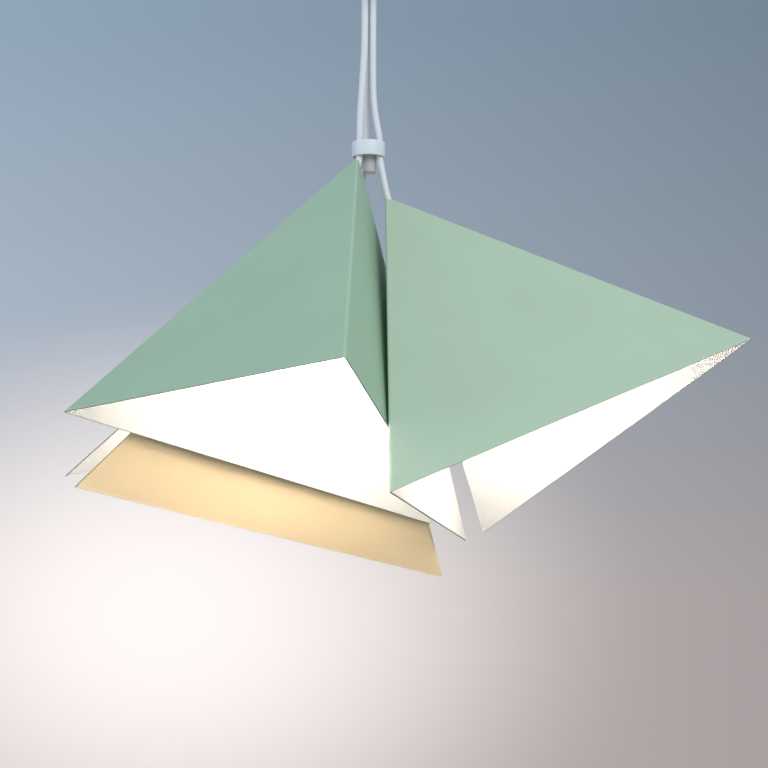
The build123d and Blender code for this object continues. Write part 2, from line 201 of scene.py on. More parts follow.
class StageSettings(bpy.types.PropertyGroup):
    """Camera, lamps and backdrop."""

    eye: FloatVectorProperty(
        name="Eye",
        description="Where the camera stands",
        subtype="TRANSLATION",
        unit="LENGTH",
        default=(0.0148, -1.017, -0.423),
    )
    lens: FloatProperty(name="Lens", description="Focal length", default=50.0, unit="CAMERA")
    wall_top: colour("Wall, high", "Backdrop behind the cords", "#8598AA")
    wall_middle: colour("Wall, middle", "Backdrop behind the shades", "#9AA6B4")
    wall_foot: colour("Wall, low", "Backdrop under the lamp", "#BDB4B4")
    wall_glow: colour("Wall, lit", "Backdrop where the lamp's light falls", "#FAF3F0")
    floor: colour("Floor", "Plain pale floor", "#DDDAD6")


class PendantSettings(bpy.types.PropertyGroup):
    """Everything that a user of the add-on may change."""

    shade: PointerProperty(type=ShadeSizes)
    holder: PointerProperty(type=HolderSizes)
    bulb: PointerProperty(type=BulbSizes)
    flex: PointerProperty(type=FlexSizes)
    rose: PointerProperty(type=RoseSizes)
    finish: PointerProperty(type=Finishes)
    stage: PointerProperty(type=StageSettings)


def settings():
    """The scene's pendant settings."""
    return bpy.context.scene.pendant


# places and frames

def turn(axis, degrees):
    """A rotation about a coordinate axis: cosines on two places of the diagonal, sines across."""
    c, s = np.cos(np.radians(degrees)), np.sin(np.radians(degrees))
    i, j = {"Z": (0, 1), "Y": (2, 0)}[axis]
    matrix = np.eye(3)
    matrix[i, i] = matrix[j, j] = c
    matrix[j, i], matrix[i, j] = s, -s
    return matrix


def hang(side, points):
    """Takes points of a shade's own frame to the lamp: three turns, then the move to the fold point."""
    point, (azimuth, lean, spin) = PLACES[side]
    rotation = turn("Z", azimuth) @ turn("Y", lean) @ turn("Z", spin)
    return np.asarray(points) @ rotation.T + np.array(point) * MM


def fold_plan():
    """Foot corners and height of a shade: equal edges fix where the slit and the front base lie."""
    s = settings().shade
    reach = np.sqrt(s.edge**2 - ((s.front - s.slit) / 2) ** 2)
    spread = (s.front**2 - s.slit**2) / 4 / reach
    slit_x, front_x = (reach + spread) / 2, (reach - spread) / 2
    height = np.sqrt(s.edge**2 - s.front**2 / 4 - front_x**2)
    half = np.array([(slit_x, s.slit / 2), (-front_x, s.front / 2)])
    return np.concatenate([half, half[::-1] * [1, -1]]), height


def face_normals():
    """Unit ways from the fold point to the foot corners, and each face's outward normal, their product."""
    corners, height = fold_plan()
    ways = np.column_stack([corners, np.full(4, -height)])
    ways /= np.linalg.norm(ways, axis=1)[:, None]
    normals = np.cross(ways[:-1], ways[1:])
    return ways, normals / np.linalg.norm(normals, axis=1)[:, None]


def lamp_axis():
    """Sideways step per metre down of the line midway between the faces.

    A point at (step, 0, -1) is as far from the front face as from a side face.
    """
    _, (side, front, _) = face_normals()
    return (side[2] - front[2]) / (side[0] - front[0])


def on_axis(side, points):
    """Points made down the -Z axis, turned onto a shade's lamp axis and hung."""
    lean = np.degrees(np.arctan(-lamp_axis()))
    return hang(side, np.asarray(points) @ turn("Y", lean).T)


def axis_point(down):
    """The point at a distance down the lamp axis, in a shade's frame."""
    step = lamp_axis()
    return np.array([step, 0, -1]) * down / np.sqrt(1 + step**2)


# surfaces

def grid_faces(rows, columns, closed=False, looped=False):
    """Quads between neighbouring points of a grid, by index, wrapped across columns or rows if asked."""
    r = np.arange(rows if looped else rows - 1)[:, None]
    c = np.arange(columns if closed else columns - 1)[None, :]
    right, below = (c + 1) % columns, (r + 1) % rows
    corners = ((r, c), (r, right), (below, right), (below, c))
    return np.stack([row * columns + column for row, column in corners], -1).reshape(-1, 4)


def piece(name, points, faces, materials, kinds=None, marks=None, smooth=35):
    """A mesh object from an array of points and quads, with poles welded and faces turned outwards."""
    mesh = bpy.data.meshes.new(name)
    mesh.from_pydata(points.reshape(-1, 3).tolist(), [], faces.tolist())
    for material in materials:
        mesh.materials.append(material)
    if kinds is not None:
        mesh.polygons.foreach_set("material_index", kinds)
    for key, values in (marks or {}).items():
        mesh.attributes.new(key, "FLOAT", "POINT").data.foreach_set("value", np.ravel(values))
    weld_mesh(mesh)
    mesh.polygons.foreach_set("use_smooth", np.ones(len(mesh.polygons), bool))
    mesh.set_sharp_from_angle(angle=np.radians(smooth))
    mesh.validate()
    item = bpy.data.objects.new(name, mesh)
    bpy.context.scene.collection.objects.link(item)
    return item


def weld_mesh(mesh):
    """Merges doubled points, drops faces without area and turns the rest outwards."""
    work = bmesh.new()
    work.from_mesh(mesh)
    bmesh.ops.remove_doubles(work, verts=work.verts, dist=2e-6)
    bmesh.ops.dissolve_degenerate(work, edges=work.edges, dist=1e-7)
    bmesh.ops.recalc_face_normals(work, faces=work.faces)
    work.to_mesh(mesh)
    work.free()


def spun(outline, segments=96, ripple=None):
    """A profile of radius and distance down, carried round the -Z axis: each point traces a circle.

    ripple takes the angle and the distance down as grids and gives what is added to the radius.
    """
    outline = np.asarray(outline, float)
    angle = np.linspace(0, 2 * np.pi, segments, endpoint=False)[None, :]
    radius = np.repeat(outline[:, :1], segments, 1)
    down = np.repeat(outline[:, 1:], segments, 1)
    if ripple is not None:
        radius = radius + ripple(angle + 0 * down, down)
    return np.stack([radius * np.cos(angle), radius * np.sin(angle), -down], -1)


def steps(*marks, count=12):
    """Points along an outline's straight parts, evenly spaced on each."""
    marks = np.asarray(marks, float)
    share = np.linspace(0, 1, count, endpoint=False)[None, :, None]
    filled = marks[:-1, None] * (1 - share) + marks[1:, None] * share
    return np.concatenate([filled.reshape(-1, 2), marks[-1:]])


def arc(centre, radius, start, end, count=12):
    """Points of a circular arc in the outline plane: centre plus radius times the angle's cosine and sine."""
    angle = np.radians(np.linspace(start, end, count))
    return np.stack([centre[0] + radius * np.cos(angle), centre[1] + radius * np.sin(angle)], 1)


def ease(distance, width):
    """Nought up to a border, one from a width beyond it, and a straight rise in between."""
    return np.clip(distance / width, 0, 1)


def finish_edges(item, width):
    """A narrow bevel on the piece's sharp edges."""
    bevel = item.modifiers.new("Softened edges", "BEVEL")
    bevel.width = width
    bevel.segments = 2
    bevel.limit_method = "ANGLE"
    bevel.angle_limit = np.radians(35)
    bevel.use_clamp_overlap = False


def tube_points(path, radius, sides=24):
    """A circle carried along a path: at each point, radius times two directions square to the path.

    The flex always runs mostly down, so the world X axis gives the first direction all the way.
    """
    path = np.asarray(path)
    tangent = np.gradient(path, axis=0)
    tangent /= np.linalg.norm(tangent, axis=1)[:, None]
    across = np.cross(tangent, [1.0, 0, 0])
    across /= np.linalg.norm(across, axis=1)[:, None]
    other = np.cross(tangent, across)
    angle = np.linspace(0, 2 * np.pi, sides, endpoint=False)[None, :, None]
    return path[:, None] + radius * (np.cos(angle) * across[:, None] + np.sin(angle) * other[:, None])


def ringed(points, looped=True):
    """Quads of a spun grid of points: closed round, and closed along the outline if it is a loop."""
    return grid_faces(points.shape[0], points.shape[1], closed=True, looped=looped)


# finishes

def add(tree, kind, inputs=(), **options):
    """Adds a shader node: options are the node's own settings, inputs are sockets with a value or a link."""
    item = tree.nodes.new("ShaderNode" + kind)
    for key, value in options.items():
        setattr(item, key, value)
    for socket, value in dict(inputs).items():
        if isinstance(value, bpy.types.NodeSocket):
            tree.links.new(value, item.inputs[socket])
        else:
            item.inputs[socket].default_value = value
    return item


def surface(name, **sockets):
    """A material with one principled shader whose plain numbers and colours stand on its own sockets."""
    material = bpy.data.materials.new(name)
    material.use_nodes = True
    shader = material.node_tree.nodes["Principled BSDF"]
    for socket, value in sockets.items():
        shader.inputs[socket.replace("_", " ")].default_value = value
    return material, material.node_tree, shader


def shaded(rgb, factor=1.0):
    """A colour with alpha, made lighter or darker by a factor."""
    return tuple(min(1.0, channel * factor) for channel in rgb) + (1.0,)


def patterns(tree, *layers):
    """Noises on the piece's own coordinates, one for each layer: its size in metres, detail and stretch."""
    own = add(tree, "TexCoord").outputs["Object"]
    found = []
    for size, detail, *stretch in layers:
        where = own
        if stretch:
            where = add(tree, "Mapping", {"Vector": own, "Scale": stretch[0]}).outputs[0]
        noise = {"Vector": where, "Scale": 1 / size, "Detail": detail, "Roughness": 0.55}
        found.append(add(tree, "TexNoise", noise).outputs["Fac"])
    return found


def vary(tree, shader, rgb, tones, gloss, relief=None, span=(0.0, 1.0)):
    """Lets noises vary a finish, and gives its colour.

    tones is a noise with a darker and a paler factor of the colour, gloss a noise with two values of
    roughness, relief a height with a strength and a depth in metres, and span the part of the first
    noise over which one tone goes over to the other.
    """
    ramp = add(tree, "ValToRGB", {"Fac": tones[0]})
    for stop, place, factor in zip(ramp.color_ramp.elements, span, tones[1:]):
        stop.position = place
        stop.color = shaded(rgb, factor)
    tree.links.new(ramp.outputs["Color"], shader.inputs["Base Color"])
    polish = add(tree, "MapRange", {"Value": gloss[0], "To Min": gloss[1], "To Max": gloss[2]})
    tree.links.new(polish.outputs[0], shader.inputs["Roughness"])
    if relief:
        bump = add(tree, "Bump", {"Height": relief[0], "Strength": relief[1], "Distance": relief[2]})
        tree.links.new(bump.outputs[0], shader.inputs["Normal"])
    return ramp.outputs["Color"]


def painted(name, rgb, roughness=0.42, worn=None, peel=0.35, shine=0.5):
    """Polyester powder coat on thin sheet metal, sprayed and baked: satin, even, with a shallow orange peel.

    Its tone wanders by a few percent, in clouds about 90 mm wide and specks of 1.6 mm. The peel is about
    2.5 mm wide on the real one and is drawn at 5 mm, so that it shows at all. The coat thins within 3.5 mm
    of folds and cut edges, where it looks a little paler.
    """
    material, tree, shader = surface(name, Roughness=roughness, IOR=1.5, Specular_IOR_Level=shine)
    cloud, dust = patterns(tree, (90 * MM, 2.0), (1.6 * MM, 3.0))
    both = add(tree, "Math", {0: cloud, 1: dust}, operation="ADD").outputs[0]
    half = add(tree, "Math", {0: both, 1: 0.5}, operation="MULTIPLY").outputs[0]
    gloss = (cloud, roughness - 0.05, roughness + 0.07)
    relief = (patterns(tree, (5 * MM, 1.0))[0], peel, 0.12 * MM) if peel else None
    tone = vary(tree, shader, rgb, (half, 0.95, 1.04), gloss, relief, (0.3, 0.7))
    if worn:
        reach = add(tree, "Attribute", attribute_name=worn).outputs["Fac"]
        border = {"Value": reach, "From Min": 0.0, "From Max": 3.5 * MM, "To Min": 0.22, "To Max": 0.0}
        thin = add(tree, "MapRange", border)
        pale = add(tree, "Mix", {0: thin.outputs[0], 6: tone, 7: shaded(rgb, 1.18)}, data_type="RGBA")
        tree.links.new(pale.outputs[2], shader.inputs["Base Color"])
    return material


def moulded(name, rgb, roughness=0.36, flow=0.04):
    """Injection-moulded thermoplastic, as on lampholders: smooth, slightly milky, with faint flow marks.

    The flow marks are long streaks down the piece, about 4 mm apart; the fine mould grain is 0.6 mm.
    """
    material, tree, shader = surface(name, IOR=1.49, Subsurface_Weight=0.08, Subsurface_Scale=3 * MM)
    streak, grain = patterns(tree, (4 * MM, 2.0, (1.0, 1.0, 0.15)), (0.6 * MM, 2.0))
    gloss = (streak, roughness - 0.05, roughness + 0.08)
    vary(tree, shader, rgb, (streak, 1 - flow, 1 + flow), gloss, (grain, 0.25, 0.04 * MM))
    return material


def metal(name, rgb, roughness=0.3, along=(1.0, 1.0, 14.0), tarnish=0.12):
    """Rolled or turned metal: fine lines one way, a slight tarnish in clouds about 8 mm wide.

    The lines are finer than 0.1 mm on the real one and are drawn 0.3 to 0.4 mm apart, so that they show.
    """
    material, tree, shader = surface(name, Metallic=1.0)
    lines, cloud = patterns(tree, (4 * MM, 3.0, along), (8 * MM, 2.0))
    tones = (cloud, 1 - tarnish, 1 + tarnish / 3)
    gloss = (lines, roughness - 0.08, roughness + 0.12)
    vary(tree, shader, rgb, tones, gloss, (lines, 0.2, 0.05 * MM), (0.35, 0.65))
    return material


def flex_jacket(name, rgb):
    """Extruded PVC flex jacket: satin and soft, with the three cores inside telling through as a slow twist.

    The twist repeats every 45 mm along the cord and is a few hundredths of a millimetre high.
    """
    material, tree, shader = surface(name, IOR=1.53, Subsurface_Weight=0.06, Subsurface_Scale=2 * MM)
    run = add(tree, "Attribute", attribute_name="along").outputs["Fac"]
    around = add(tree, "Attribute", attribute_name="round").outputs["Fac"]
    lay = add(tree, "Math", {0: run, 1: 2 * np.pi / (45 * MM)}, operation="MULTIPLY").outputs[0]
    phase = add(tree, "Math", {0: around, 1: 3.0, 2: lay}, operation="MULTIPLY_ADD").outputs[0]
    cores = add(tree, "Math", {0: phase}, operation="SINE").outputs[0]
    dust = patterns(tree, (3 * MM, 2.0))[0]
    vary(tree, shader, rgb, (dust, 0.94, 1.03), (dust, 0.34, 0.5), (cores, 0.25, 0.06 * MM))
    return material


def lit_opal(name, rgb, glow):
    """Opal glass, flashed inside and lit: even milky light, dimmer towards the neck, glossy outside.

    The flashing varies by a few percent in clouds of 20 mm, and the light fades over 26 mm at the neck.
    """
    tint = shaded(rgb)
    material, tree, shader = surface(name, Roughness=0.18, IOR=1.52, Base_Color=tint, Emission_Color=tint)
    run = add(tree, "Attribute", attribute_name="down").outputs["Fac"]
    neck = {"Value": run, "From Min": 124 * MM, "From Max": 150 * MM, "To Min": 0.55, "To Max": 1.0}
    fade = add(tree, "MapRange", neck)
    flash = patterns(tree, (20 * MM, 2.0))[0]
    uneven = add(tree, "MapRange", {"Value": flash, "To Min": 0.96 * glow, "To Max": 1.04 * glow})
    power = add(tree, "Math", {0: fade.outputs[0], 1: uneven.outputs[0]}, operation="MULTIPLY")
    tree.links.new(power.outputs[0], shader.inputs["Emission Strength"])
    return material


FINISH = {}


def finish(slot):
    """The material of one of the record's material slots, made once."""
    s = settings().finish
    makers = {
        # one sage coat in two copies: a painted-shade copy for the left shade and a painted-light copy for the
        # right
        "shade_green_left": lambda: painted("powder_coat_sage_painted_shade_left", s.green_left, 0.46, "coat_reach"),
        "shade_green_right": lambda: painted("powder_coat_sage_painted_light_right", s.green_right, 0.46, "coat_reach"),
        "shade_yellow": lambda: painted("powder_coat_straw", s.yellow, 0.46, "coat_reach"),
        "shade_inside": lambda: painted("powder_coat_white_inside", s.inside, 0.62, peel=0.0, shine=0.12),
        # the cut edges get a dark olive tone, a thin dark line round the sheet's rim
        "shade_edge": lambda: painted("dark_olive_cut_edge", s.cut_edge, 0.5),
        "canopy_white": lambda: painted("powder_coat_white_canopy", s.band, 0.4),
        "collar_white": lambda: painted("painted_band_white", s.band, 0.38),
        "core_white": lambda: moulded("moulded_core_polypropylene", s.core, 0.42),
        "cord_white": lambda: flex_jacket("extruded_pvc_flex", s.cord),
        "cone_white": lambda: moulded("moulded_cone_polycarbonate", s.moulding, 0.4),
        "holder_white": lambda: moulded("moulded_lampholder_thermoset", s.moulding, 0.3),
        "insert_cream": lambda: moulded("moulded_insert_cream", linear("#DAD2BC"), 0.5),
        "gland_white": lambda: moulded("moulded_gland_nylon", s.moulding, 0.38),
        "gland_nut_white": lambda: moulded("moulded_nut_nylon", s.moulding, 0.44),
        "clamp_nylon": lambda: moulded("moulded_clamp_nylon", linear("#E9E7DF"), 0.45),
        "terminal_nylon": lambda: moulded("moulded_terminal_nylon", linear("#E4E2D8"), 0.45),
        "plate_steel": lambda: metal("zinc_plated_steel_plate", linear("#B9BBBC"), 0.34, (1.0, 10.0, 10.0)),
        "screw_steel": lambda: metal("turned_steel_screw", linear("#C2C2C0"), 0.26),
        "nipple_zinc": lambda: metal("zinc_plated_nipple", linear("#BFC0BE"), 0.3),
        "terminal_brass": lambda: metal("turned_brass_screw", linear("#C9A25E"), 0.28),
        "contact_brass": lambda: metal("pressed_brass_contact", linear("#CDA765"), 0.3),
        "bulb_cap": lambda: metal("rolled_aluminium_screw_cap", linear("#C9CACB"), 0.24),
        "bulb_glass": lambda: moulded("vitrite_insulator_black", linear("#17161A"), 0.2),
        "bulb_solder": lambda: metal("soldered_tip", linear("#B4B5B6"), 0.38),
        "bulb_opal": lambda: lit_opal("lit_opal_glass", s.light, s.glow),
    }
    if slot not in FINISH:
        FINISH[slot] = makers[slot]()
    return FINISH[slot]


# pieces

def sheet_lines(inset):
    """Straight lines down one skin of the folded sheet: points at height nought and slopes per metre up.

    The skin lies an inset inside the outer faces. Each fold is an arc about an axis that runs parallel to
    the fold, at the fold's radius from both faces. Between two folds, or a fold and the slit, a line is a
    weighted mean of the two lines at the face's ends, so the face stays flat. The lines of a face lie
    closer together near its ends.
    """
    s = settings().shade
    ways, normals = face_normals()
    slit_normal = np.cross(ways[3], ways[0])
    ends = []
    for way, normal in ((ways[0], normals[0]), (ways[3], normals[2])):
        across = np.cross(slit_normal, way)
        ends.append((-inset * across / (normal @ across), way))
    share = np.linspace(0, 1, 9)[:, None]
    bends = []
    for first, second, way in ((normals[0], normals[1], ways[1]), (normals[1], normals[2], ways[2])):
        between = np.arccos(first @ second)
        fan = (np.sin((1 - share) * between) * first + np.sin(share * between) * second) / np.sin(between)
        axis = -s.fold * (first + second) / (1 + first @ second)
        bends.append((axis + (s.fold - inset) * fan, way))
    lines = (ends[0], *bends, ends[1])
    level = [(start - start[..., 2:] * way / way[2], way / way[2]) for start, way in lines]
    spread = np.array([0, 0.004, 0.015, 0.04, 0.09, 0.16, 0.25, 0.36])
    spread = np.concatenate([spread, [0.5], 1 - spread[::-1]])[:, None]
    borders = [level[0], (level[1][0][0], level[1][1]), (level[1][0][-1], level[1][1])]
    borders += [(level[2][0][0], level[2][1]), (level[2][0][-1], level[2][1]), level[3]]
    starts, slopes = [], []
    for face in range(3):
        (left, left_way), (right, right_way) = borders[2 * face], borders[2 * face + 1]
        starts.append(left * (1 - spread) + right * spread)
        slopes.append(left_way * (1 - spread) + right_way * spread)
        if face < 2:
            inner = level[face + 1][0][1:-1]
            starts.append(inner)
            slopes.append(np.broadcast_to(level[face + 1][1], inner.shape))
    return np.concatenate(starts), np.concatenate(slopes)


def upper_ends(starts, slopes):
    """Height at which each line of a skin begins, below the cut-back tip and the cut-out round the cord.

    Both are the lower root of a quadratic, one for the distance from the fold point, and one for the
    distance from the cord's line.
    """
    s = settings().shade
    a, b, c = (slopes**2).sum(1), (starts * slopes).sum(1), (starts**2).sum(1) - s.tip**2
    tip = (-b - np.sqrt(b**2 - a * c)) / a
    entry = np.array([s.cord_step, 0, -s.tip])
    way = axis_point(CORD_ENTRY * MM) - entry
    way /= np.linalg.norm(way)
    off, drift = starts - entry, slopes - (slopes @ way)[:, None] * way
    off = off - (off @ way)[:, None] * way
    a, b, c = (drift**2).sum(1), (off * drift).sum(1), (off**2).sum(1) - s.cord_hole**2
    room = b**2 - a * c
    hole = np.where(room > 0, (-b - np.sqrt(np.maximum(room, 0))) / a, 0)
    return np.minimum(tip, hole)


def folded_sheet(side, slots):
    """One shade as a closed sheet: an outer skin, an inner skin, and the cut edges between them.

    Each line of a skin is cut into rows from its upper end to the foot, a little closer near the tip.
    """
    s = settings().shade
    _, height = fold_plan()
    rows = np.linspace(0, 1, 41)[:, None, None] ** 1.15
    skins = []
    for inset in (0.0, s.sheet):
        starts, slopes = sheet_lines(inset)
        top = upper_ends(starts, slopes)[None, :, None]
        level = top + rows * (-height - top)
        skins.append(starts + slopes * level)
    outer, inner = skins
    count, columns = outer.shape[:2]
    index = np.arange(count * columns).reshape(count, columns)
    border = np.concatenate([index[0, :-1], index[:-1, -1], index[-1, :0:-1], index[:0:-1, 0]])
    after = np.roll(border, -1)
    size = count * columns
    skin = grid_faces(count, columns)
    edges = np.stack([border, after, after + size, border + size], 1)
    faces = np.concatenate([skin, skin + size, edges])
    kinds = np.repeat([0, 1, 2], [len(skin), len(skin), len(edges)])
    points = np.concatenate([outer.reshape(-1, 3), inner.reshape(-1, 3)])
    marks = {"coat_reach": edge_reach(points, height)}
    materials = [finish(slot) for slot in slots]
    item = piece(f"folded_shade_{side}", hang(side, points), faces, materials, kinds, marks, smooth=30)
    finish_edges(item, 0.2 * MM)
    item.modifiers.new("Flat faces", "WEIGHTED_NORMAL").keep_sharp = True
    return item


def edge_reach(points, height):
    """Distance of each point from the nearest fold, slit side or foot edge."""
    ways, _ = face_normals()
    folds = np.linalg.norm(np.cross(points[:, None], ways[None]), axis=2).min(1)
    return np.minimum(folds, points[:, 2] + height)


def holder_ribs(angle, down):
    """Grip ribs as a smooth wave round the holder, 0.35 mm deep, faded out near the ends and the joint."""
    s = settings().holder
    first, last, depth = 72.5 * MM, s.body_foot - 8 * MM, 0.35 * MM
    fade = ease(down - first, 6 * MM) * ease(last - down, 4 * MM)
    fade = fade * ease(np.abs(down - s.cap_foot) - 1.8 * MM, 3 * MM)
    return -depth * fade * (0.5 + 0.5 * np.cos(s.ribs * angle)) ** 2


def holder_cap_form():
    """Outline of the hollow cap: neck, shoulder as a quarter ellipse, straight skirt, and the same inside."""
    s = settings().holder
    neck_foot, shoulder = s.cone_foot + 4 * MM, s.cap_foot - s.radius / 3
    bow = np.radians(np.linspace(90, 0, 14))
    across, drop = s.radius - s.neck, shoulder - neck_foot
    swell = np.stack([s.neck + across * np.cos(bow), shoulder - drop * np.sin(bow)], 1)
    bore, edge, inner = 5.05 * MM, 0.6 * MM, s.radius - s.wall
    neck = steps((bore, s.cone_foot), (s.neck - edge, s.cone_foot), (s.neck, s.cone_foot + edge), count=3)
    skirt = steps((s.radius, shoulder + 1 * MM), (s.radius, s.cap_foot), (inner, s.cap_foot), count=5)
    under = s.wall * 0.9
    inside = (swell[::-1] - [s.neck, 0]) * [(inner - s.neck) / across, 1] + [s.neck, under]
    lid = steps((s.neck, neck_foot + under), (bore, neck_foot + s.wall), (bore, s.cone_foot), count=3)[:-1]
    return np.concatenate([neck, swell, skirt, inside, lid])


def holder_body_form():
    """Outline of the tapered sleeve: a bead at the joint with the cap, a straight taper, a rolled mouth."""
    s = settings().holder
    top, foot = s.cap_foot, s.body_foot
    mouth, inner, edge = s.radius - 1.2 * MM, s.radius - s.wall, 0.5 * MM
    bead = steps((inner, top), (s.radius - edge, top), (s.radius, top + edge), count=3)
    side = steps((s.radius, top + 6 * MM), (mouth + 0.1 * MM, foot - 1.5 * MM), count=28)
    roll = arc((mouth - s.wall / 2, foot - s.wall / 2), s.wall / 2, 0, 180, 9)
    inside = steps((mouth - s.wall, foot - 2 * MM), (inner, foot - 4 * MM), (inner, top), count=8)
    return np.concatenate([bead, side, roll, inside[:-1]])


def thread(angle, down):
    """A rolled screw thread: the radius waves once round for each pitch down, with a flat start and end."""
    s = settings().bulb
    middle, half = (s.shell_top + s.shell_foot) / 2, (s.shell_foot - s.shell_top) / 2
    flat, depth = 1.5 * MM, 0.9 * MM
    fade = ease(half - np.abs(down - middle) - flat, 2 * MM)
    return -depth / 2 * fade * (1 + np.cos(angle + 2 * np.pi * down / s.pitch))


def shell_form():
    """Outline of the screw cap in three parts: soldered tip, black insulator, and shell down to its foot."""
    s = settings().bulb
    rim, soft, low = 4.5 * MM, 0.4 * MM, s.tip_top + 1 * MM
    tip = steps((0, s.tip_top), (4 * MM, s.tip_top), (rim, s.tip_top + soft), (rim, low), count=4)
    insulator = steps((7.5 * MM, low), (s.shell - 0.8 * MM, s.shell_top - 0.1 * MM), count=8)
    shell = steps((s.shell, s.shell_top + 0.2 * MM), (s.shell, s.shell_foot), (0, s.shell_foot), count=60)
    return tip, insulator, shell


def globe_form():
    """Outline of the opal globe: a neck that flares in a quadratic curve into a ball, closed at the foot.

    The ball starts 0.8 of its radius above its middle.
    """
    s = settings().bulb
    join = -np.degrees(np.arcsin(0.8))
    ball = arc((0, s.globe_foot - s.globe), s.globe, join, 90, 48)
    start, meet = np.array([s.neck, s.shell_foot]), ball[0]
    bend = start + [0.4 * MM, 9 * MM]
    share = np.linspace(0, 1, 16, endpoint=False)[:, None]
    flare = (1 - share) ** 2 * start + 2 * share * (1 - share) * bend + share**2 * meet
    return np.concatenate([[[0, s.shell_foot]], flare, ball])


def cone_form():
    """Outline of the carrier cone: a straight side that meets the three faces, and a slightly tapered bore.

    The side's radius is the distance from the lamp axis to the faces, less the sheet and a hair of play.
    """
    s = settings().holder
    _, normals = face_normals()
    wall = -normals[1] @ axis_point(1.0)
    down = np.linspace(s.cone_top, s.cone_foot - 1.2 * MM, 14)
    side = np.stack([wall * down - settings().shade.sheet - 0.05 * MM, down], 1)
    foot = [(side[-1, 0] - 0.3 * MM, s.cone_foot), (5.1 * MM, s.cone_foot)]
    bore = [(5.0 * MM, 34 * MM), (4.95 * MM, s.cone_top)]
    return np.concatenate([side, foot, bore])


def cone_ribs(angle, down):
    """Moulded flutes in the cone's side between its three bearing lines, deeper towards the foot."""
    s = settings().holder
    flutes, depth = 18, 0.9 * MM
    fade = ease(down - s.cone_top - 4 * MM, 20 * MM) * ease(s.cone_foot - down, 4 * MM)
    bore = np.where(down > s.cone_foot - 0.5 * MM, 0, 1)
    return -depth * fade * bore * (0.5 + 0.5 * np.cos(flutes * angle))


def core_grooves(angle, down):
    """Inside the band the core gives way to the cords: the near side of each circle, seen from the middle."""
    s = settings().flex
    play, reach = 0.05 * MM, 0.6
    hold = s.radius + play
    cut = np.zeros_like(angle)
    for place in CORD_ANGLES.values():
        off = (angle - np.radians(place) + np.pi) % (2 * np.pi) - np.pi
        room = np.maximum(hold**2 - (s.pitch * np.sin(off)) ** 2, 0)
        near = np.where((np.abs(off) < reach) & (room > 0), s.pitch * np.cos(off) - np.sqrt(room), s.core)
        cut = np.minimum(cut, near - s.core)
    return np.where(down < s.ring_top + s.ring_height + play, cut, 0)


def core_form():
    """Outline of the core: a grooved head inside the band, a step, and a tail with a rounded rim."""
    s = settings().flex
    foot, soft = s.ring_top + s.ring_height, 1 * MM
    end = foot + s.tail_length
    head = steps((0, s.ring_top), (s.core, s.ring_top), (s.core, foot), count=6)
    tail = [(s.tail, foot + 0.1 * MM), (s.tail, foot + 7 * MM)]
    rim = arc((s.tail - soft, end - soft), soft, 0, 90, 7)
    return np.concatenate([head, tail, rim, [(0, end)]])


def band_form():
    """Outline of the band: a thin tube with rounded edges, as a closed loop."""
    s = settings().flex
    play, soft = 0.3 * MM, 0.5 * MM
    inner, foot = s.pitch + s.radius + play, s.ring_top + s.ring_height
    top = arc((s.ring - soft, s.ring_top + soft), soft, -90, 0, 6)
    base = arc((s.ring - soft, foot - soft), soft, 0, 90, 6)
    return np.concatenate([top, base, [(inner, foot), (inner, s.ring_top)]])


def canopy_form():
    """Outline of the canopy: a cup of thin sheet with a rounded lower edge and the gland's hole."""
    s = settings().rose
    edge, rim, hole = 3 * MM, 0.4 * MM, s.gland + 0.05 * MM
    floor, flat, inner = s.height - s.wall, s.radius - edge, s.radius - s.wall
    outside = arc((flat, s.height - edge), edge, 0, 90, 12)
    inside = arc((flat, s.height - edge), edge - s.wall, 90, 0, 12)
    side = steps((s.radius - rim, 0), (s.radius, rim), (s.radius, s.height - edge), count=6)[:-1]
    lower = steps((flat, s.height), (hole, s.height), (hole, floor), (flat, floor), count=8)[1:-1]
    return np.concatenate([side, outside, lower, inside, [(inner, rim), (inner, 0)]])


def gland_form():
    """Outline of the cord outlet: stem through the canopy, flange under it, tapered nose, wide bore."""
    s = settings().rose
    top, floor = s.height - s.wall - 4 * MM, s.height
    nose, thick, edge, soft = floor + s.drop, 2 * MM, 0.4 * MM, 0.8 * MM
    rim = arc((s.gland + 0.2 * MM, nose - soft), soft, 15, 90, 6)
    stem = [(s.bore, top), (s.gland, top), (s.gland, floor)]
    flange = [(s.flange - edge, floor), (s.flange, floor + edge)]
    flange += [(s.flange, floor + thick - edge), (s.flange - edge, floor + thick)]
    taper = steps((s.gland + 3 * MM, floor + 2.2 * MM), (s.gland + 1.1 * MM, nose - 1 * MM), count=10)
    return np.concatenate([stem, flange, taper, rim, steps((s.bore, nose), (s.bore, top), count=4)[:-1]])


def gland_flutes(angle, down):
    """Finger flutes round the tapered nose of the outlet, faded at both ends."""
    s = settings().rose
    flutes, depth = 24, 0.35 * MM
    fade = ease(down - s.height - 2.4 * MM, 1 * MM) * ease(s.height + s.drop - 1.2 * MM - down, 1 * MM)
    return -depth * fade * (0.5 + 0.5 * np.cos(flutes * angle))


def around(angle, radius, height):
    """A point in metres at an angle and a distance from the lamp's middle line, from millimetres."""
    return (radius * MM * np.cos(np.radians(angle)), radius * MM * np.sin(np.radians(angle)), height * MM)


def cord_route(side):
    """The cord's points from the clamp through the collar and the tip of its shade to the lampholder."""
    s = settings().shade
    places = (CLAMP_BORE, *UPPER_ROUTES[side], *BAND_RUN)
    upper = [around(CORD_ANGLES[side], *place) for place in places]
    entry = [(s.cord_step, 0, -s.tip), axis_point(CORD_ENTRY * MM), axis_point(CORD_END * MM)]
    return np.array(upper + [tuple(point) for point in hang(side, entry)])


